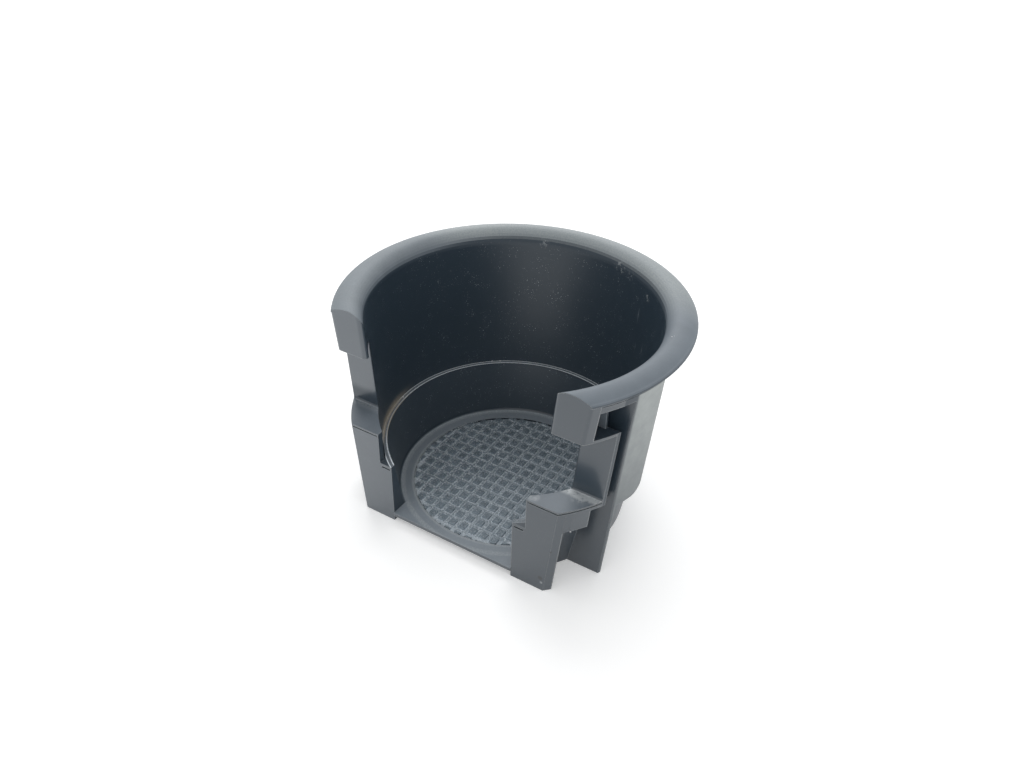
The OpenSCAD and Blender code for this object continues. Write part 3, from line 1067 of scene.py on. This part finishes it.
@dataclass
class LooseDust:
    """Crumbs of dust scattered over the surfaces that face up.

    Args:
        seed: Seed of the scatter.
        facets: Number of sides of a ring's edge.
        grain: Finish of the crumbs.
        back_y: Place along Y behind which the mat's gap is clean, in millimetres.
    """

    seed: int = 7
    facets: int = 96
    grain: PaleGrain = field(default_factory=PaleGrain)
    back_y: float = 18.0

    def rings(self) -> dict[Surface, DustRing]:
        """Gives the rings.

        Returns:
            The ring of each surface.
        """
        return {
            Surface.GROOVES: DustRing(0.0, MAT.radius - 0.2, MAT.groove_z, 2.6e6, 0.11),
            Surface.FLOOR: DustRing(MAT.radius + 0.5, CUP.floor_r - 1.3, CUP.floor_z, 0.5e6, 0.07),
            Surface.LEDGE: DustRing(CUP.bowl_top_r + 0.1, CUP.ledge_r - 0.1, CUP.ledge_z, 1.6e6, 0.08),
            Surface.GAP: DustRing(MAT.radius + 0.02, MAT.radius + 0.3, CUP.floor_z - 0.15, 26.0e6, 0.16),
        }

    def scatter(self) -> list[Piece]:
        """Scatters the crumbs on each surface.

        Returns:
            One mesh for each surface.
        """
        material = self.grain.build()
        rings = enumerate(self.rings().items(), self.seed)
        return [self.one(surface, ring, seed, material) for seed, (surface, ring) in rings]

    def one(self, surface: Surface, ring: DustRing, seed: int, material: Material) -> Piece:
        """Scatters crumbs on one flat ring.

        Args:
            surface: Surface that is dusted.
            ring: The ring's sizes and the crumbs' density.
            seed: Seed of the scatter.
            material: Finish of the crumbs.

        Returns:
            The crumbs as one mesh.
        """
        name = "dust_" + surface.value
        sizes = {
            "Inner": ring.inner * MM,
            "Outer": ring.outer * MM,
            "Height": ring.height * MM,
            "Density": ring.density,
            "Crumb": ring.crumb * MM,
            "Seed": seed,
        }
        g = GeoGraph(name, sizes)
        seeded = g.get("Seed")
        circle = {"Vertices": self.facets, "Radius": g.get("Outer")}
        sheet = g.add("GeometryNodeMeshCircle", {"fill_type": "TRIANGLE_FAN"}, circle).outputs[0]
        strewn = {"Mesh": sheet, "Density": g.get("Density"), "Seed": seeded}
        points = g.add("GeometryNodeDistributePointsOnFaces", values=strewn).outputs[0]
        dropped = {0: points, "Selection": self.dropped(g, surface)}
        clear = g.add("GeometryNodeDeleteGeometry", {"domain": "POINT"}, dropped)
        crumb = g.add("GeometryNodeMeshIcoSphere", values={"Radius": g.get("Crumb"), "Subdivisions": 1})
        flat = g.add("GeometryNodeTransform", values={0: crumb.outputs[0], "Scale": (1.0, 0.8, 0.55)})
        turns = {0: (0.0, 0.0, 0.0), 1: (0.6, 0.6, 6.28), "Seed": seeded}
        turn = g.add("FunctionNodeRandomValue", {"data_type": "FLOAT_VECTOR"}, turns).outputs[0]
        factors = {2: 0.35, 3: 1.3, "Seed": seeded}
        grow = g.add("FunctionNodeRandomValue", {"data_type": "FLOAT"}, factors).outputs[1]
        placed = {0: clear.outputs[0], "Instance": flat.outputs[0], "Rotation": turn, "Scale": grow}
        crumbs = g.add("GeometryNodeInstanceOnPoints", values=placed).outputs[0]
        return g.apply(name, g.lift(crumbs, g.get("Height")), material)

    def dropped(self, g: GeoGraph, surface: Surface) -> Socket:
        """Selects the points that no crumb may lie on.

        Args:
            g: Tree to add to.
            surface: Surface that is dusted.

        Returns:
            Selection of the points in the ring's hole, past the front, on pads or in an opening.
        """
        place = g.add("GeometryNodeInputPosition").outputs[0]
        split = g.add("ShaderNodeSeparateXYZ", values={0: place})
        x, y = split.outputs[0], split.outputs[1]
        far = g.add("ShaderNodeVectorMath", {"operation": "LENGTH"}, {0: place}).outputs["Value"]
        edge = CUP.sill_y if surface is Surface.FLOOR else CUP.front_y
        drop = g.logic("OR", g.less(far, g.get("Inner")), g.less(y, -(edge - 0.3) * MM))
        if surface is Surface.LEDGE:
            between = g.less(g.math("ABSOLUTE", x), (CUP.low_half + 0.3) * MM)
            drop = g.logic("OR", drop, g.logic("AND", between, g.less(y, 0.0)))
        if surface is Surface.GAP:
            drop = g.logic("OR", drop, g.less(self.back_y * MM, y))
        if surface is Surface.GROOVES:
            drop = g.logic("OR", drop, self.on_pad(g, x, y))
        return drop

    def on_pad(self, g: GeoGraph, x: Socket, y: Socket) -> Socket:
        """Selects the points that lie on the mat's pads.

        Args:
            g: Tree to add to.
            x: Place along X.
            y: Place along Y.

        Returns:
            Selection of the points.
        """
        over = []
        for place, pitch in zip((x, y), MAT.pitch):
            shifted = g.math("ADD", g.math("DIVIDE", place, pitch * MM), 0.5)
            off = g.math("ABSOLUTE", g.math("SUBTRACT", g.math("FRACT", shifted), 0.5))
            over.append(g.less(off, (pitch - MAT.groove_w) / 2 / pitch))
        return g.logic("AND", *over)


@dataclass
class Specks:
    """Single pale specks of lint that stand out on the rim, the ledge and the skirt.

    Args:
        places: Centre and radius of each, in millimetres.
    """

    places: tuple[tuple[float, float, float, float], ...] = (
        (-25.3, 29.4, 20.85, 0.32),
        (-23.0, 30.9, 20.85, 0.26),
        (-38.1, -3.5, 20.85, 0.24),
        (-38.5, -25.4, 67.55, 0.16),
        (-37.6, -25.6, 67.6, 0.13),
        (43.7, 6.2, 67.68, 0.16),
        (44.1, 6.8, 67.68, 0.12),
        (36.2, -29.4, 23.1, 0.30),
    )

    def build(self, material: Material) -> Piece:
        """Builds the specks as flattened crumbs.

        Args:
            material: Finish of the specks.

        Returns:
            The specks as one mesh.
        """
        form = bmesh.new()
        for x, y, z, size in self.places:
            place = Matrix.Translation(Vector((x, y, z)) * MM) @ Matrix.Diagonal((1.0, 0.75, 0.5, 1.0))
            bmesh.ops.create_icosphere(form, subdivisions=2, radius=size * MM, matrix=place)
        return from_form("lint_specks", form, material)


@dataclass
class SkirtStrip:
    """Narrow strips that join each pillar's panel to the skirt under its shelf.

    Args:
        front: Distance of their front end from the axis.
        rear: Distance of their rear end from the axis.
        low_z: Height of their lower end.
        high_z: Height of their upper end.
        thick: Thickness, as that of the skirt.
        inset: Distance that they lie below the skirt's surface.
    """

    front: float = 31.1
    rear: float = 29.7
    low_z: float = 23.2
    high_z: float = 29.4
    thick: float = 1.6
    inset: float = 0.012

    def build(self, material: Material) -> Piece:
        """Builds both strips.

        Args:
            material: Plastic of the moulding.

        Returns:
            The strips as one mesh.
        """
        form = bmesh.new()
        taper = (CUP.skin_top_r - CUP.skin_base_r) / CUP.skin_top_z
        for side in (1, -1):
            corners = []
            for z in (self.low_z + self.inset, self.high_z):
                skin = CUP.skin_base_r + taper * z
                for y in (self.front, self.rear):
                    for r in (skin - self.inset, skin - self.thick):
                        place = Vector((side * math.sqrt(r * r - y * y), -y, z)) * MM
                        corners.append(form.verts.new(place))
            for ring in ((0, 1, 3, 2), (4, 6, 7, 5), (0, 4, 5, 1), (2, 3, 7, 6), (0, 2, 6, 4), (1, 5, 7, 3)):
                form.faces.new([corners[i] for i in ring])
        bmesh.ops.recalc_face_normals(form, faces=form.faces)
        return from_form("skirt_strips", form, material)


@dataclass
class Studio:
    """White ground, one large soft light and the camera at the photograph's place.

    Args:
        ground_size: Side of the ground, in metres.
        sky: Strength of the white surroundings.
        sky_tone: Colour of the surroundings as the part is lit by them.
        key_g: ShaderGraph of the light, behind the part's left shoulder, in metres.
        key_aim: Point that the light faces, in metres.
        key_size: Side of the light, in metres.
        key_radiance: Brightness of the light's face.
        camera_g: ShaderGraph of the camera, in metres.
        azimuth: Turn of the camera about the part, in degrees.
        elevation: Height of the camera's view, in degrees.
        roll: Tilt of the picture, in degrees.
        picture_px: Width of the photograph, in pixels.
        focal_px: Focal length in pixels of the photograph.
        film_mm: Width of the camera's sensor, in millimetres.
    """

    ground_size: float = 8.0
    sky: float = 0.78
    sky_tone: Colour = (0.98, 0.99, 1.0, 1)
    key_at: Point = (-0.62, 1.02, 0.92)
    key_aim: Point = (0.0, 0.0, 0.03)
    key_size: float = 1.4
    key_radiance: float = 2.1
    camera_at: Point = (0.10568, -0.18214, 0.19099)
    azimuth: float = 30.145
    elevation: float = 35.828
    roll: float = -1.872
    picture_px: float = 1024.0
    focal_px: float = 886.624
    film_mm: float = 36.0

    def ground(self) -> None:
        """Lays the white ground under the part."""
        half = self.ground_size / 2
        corners = [(-half, -half, 0), (half, -half, 0), (half, half, 0), (-half, half, 0)]
        mesh = bpy.data.meshes.new("white_ground")
        mesh.from_pydata(corners, [], [(0, 1, 2, 3)])
        mesh.materials.append(WhiteGround().build())
        place_in_scene("white_ground", mesh)

    def surroundings(self) -> None:
        """Makes the sky white, and pure white where the camera and reflections see it."""
        world = bpy.data.worlds.new("white_room")
        bpy.context.scene.world = world
        world.use_nodes = True
        g = NodeGraph(world.node_tree)
        g.tree.nodes.clear()
        soft = g.add("ShaderNodeBackground", values={"Color": self.sky_tone, "Strength": self.sky})
        plain = g.add("ShaderNodeBackground", values={"Color": WHITE, "Strength": 1.0})
        mixed = g.add("ShaderNodeMixShader", values={0: g.seen(), 1: soft.outputs[0], 2: plain.outputs[0]})
        g.add("ShaderNodeOutputWorld", values={0: mixed.outputs[0]})

    def key(self) -> None:
        """Hangs the large square light that faces the part."""
        light = bpy.data.lights.new("key", "AREA")
        light.shape = "SQUARE"
        light.size = self.key_size
        light.energy = self.key_radiance * math.pi * self.key_size * self.key_size
        lamp = place_in_scene("key", light)
        lamp.location = self.key_at
        aim = Vector(self.key_aim) - Vector(self.key_at)
        lamp.rotation_euler = aim.to_track_quat("-Z", "Y").to_euler()

    def camera(self) -> None:
        """Sets up the camera where the photograph was taken."""
        az, el, roll = (math.radians(v) for v in (self.azimuth, self.elevation, self.roll))
        ahead = Vector((-math.sin(az) * math.cos(el), math.cos(az) * math.cos(el), -math.sin(el)))
        right = Vector((math.cos(az), math.sin(az), 0))
        down = ahead.cross(right)
        side = math.cos(roll) * right + math.sin(roll) * down
        foot = -math.sin(roll) * right + math.cos(roll) * down
        turn = Matrix((side, -foot, -ahead)).transposed().to_4x4()
        data = bpy.data.cameras.new("camera")
        data.sensor_fit = "HORIZONTAL"
        data.sensor_width = self.film_mm
        data.lens = self.focal_px / self.picture_px * self.film_mm
        data.clip_start = 0.01
        data.clip_end = 20.0
        camera = place_in_scene("camera", data)
        camera.matrix_world = Matrix.Translation(Vector(self.camera_at)) @ turn
        bpy.context.scene.camera = camera

    def build(self) -> None:
        """Builds the whole studio."""
        bpy.context.scene.view_settings.view_transform = "Standard"
        self.ground()
        self.surroundings()
        self.key()
        self.camera()


def main() -> None:
    """Builds the scene in order: frame, studio, moulding and strips, mat, dust and specks."""
    logging.basicConfig(level=logging.INFO, format="%(name)s %(message)s")
    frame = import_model()
    Studio().build()

    body = CupBody().dress(frame["nodes"])
    strips = SkirtStrip().build(body.data.materials[0])
    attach(strips, "root")

    mat = WaffleMat()
    mat_piece = mat.build()
    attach(mat_piece, "root")
    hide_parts(mat.node)

    crumbs = LooseDust().scatter()
    specks = Specks().build(crumbs[0].data.materials[0])
    for piece in (*crumbs, specks):
        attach(piece, "root")


if __name__ == "__main__":
    main()
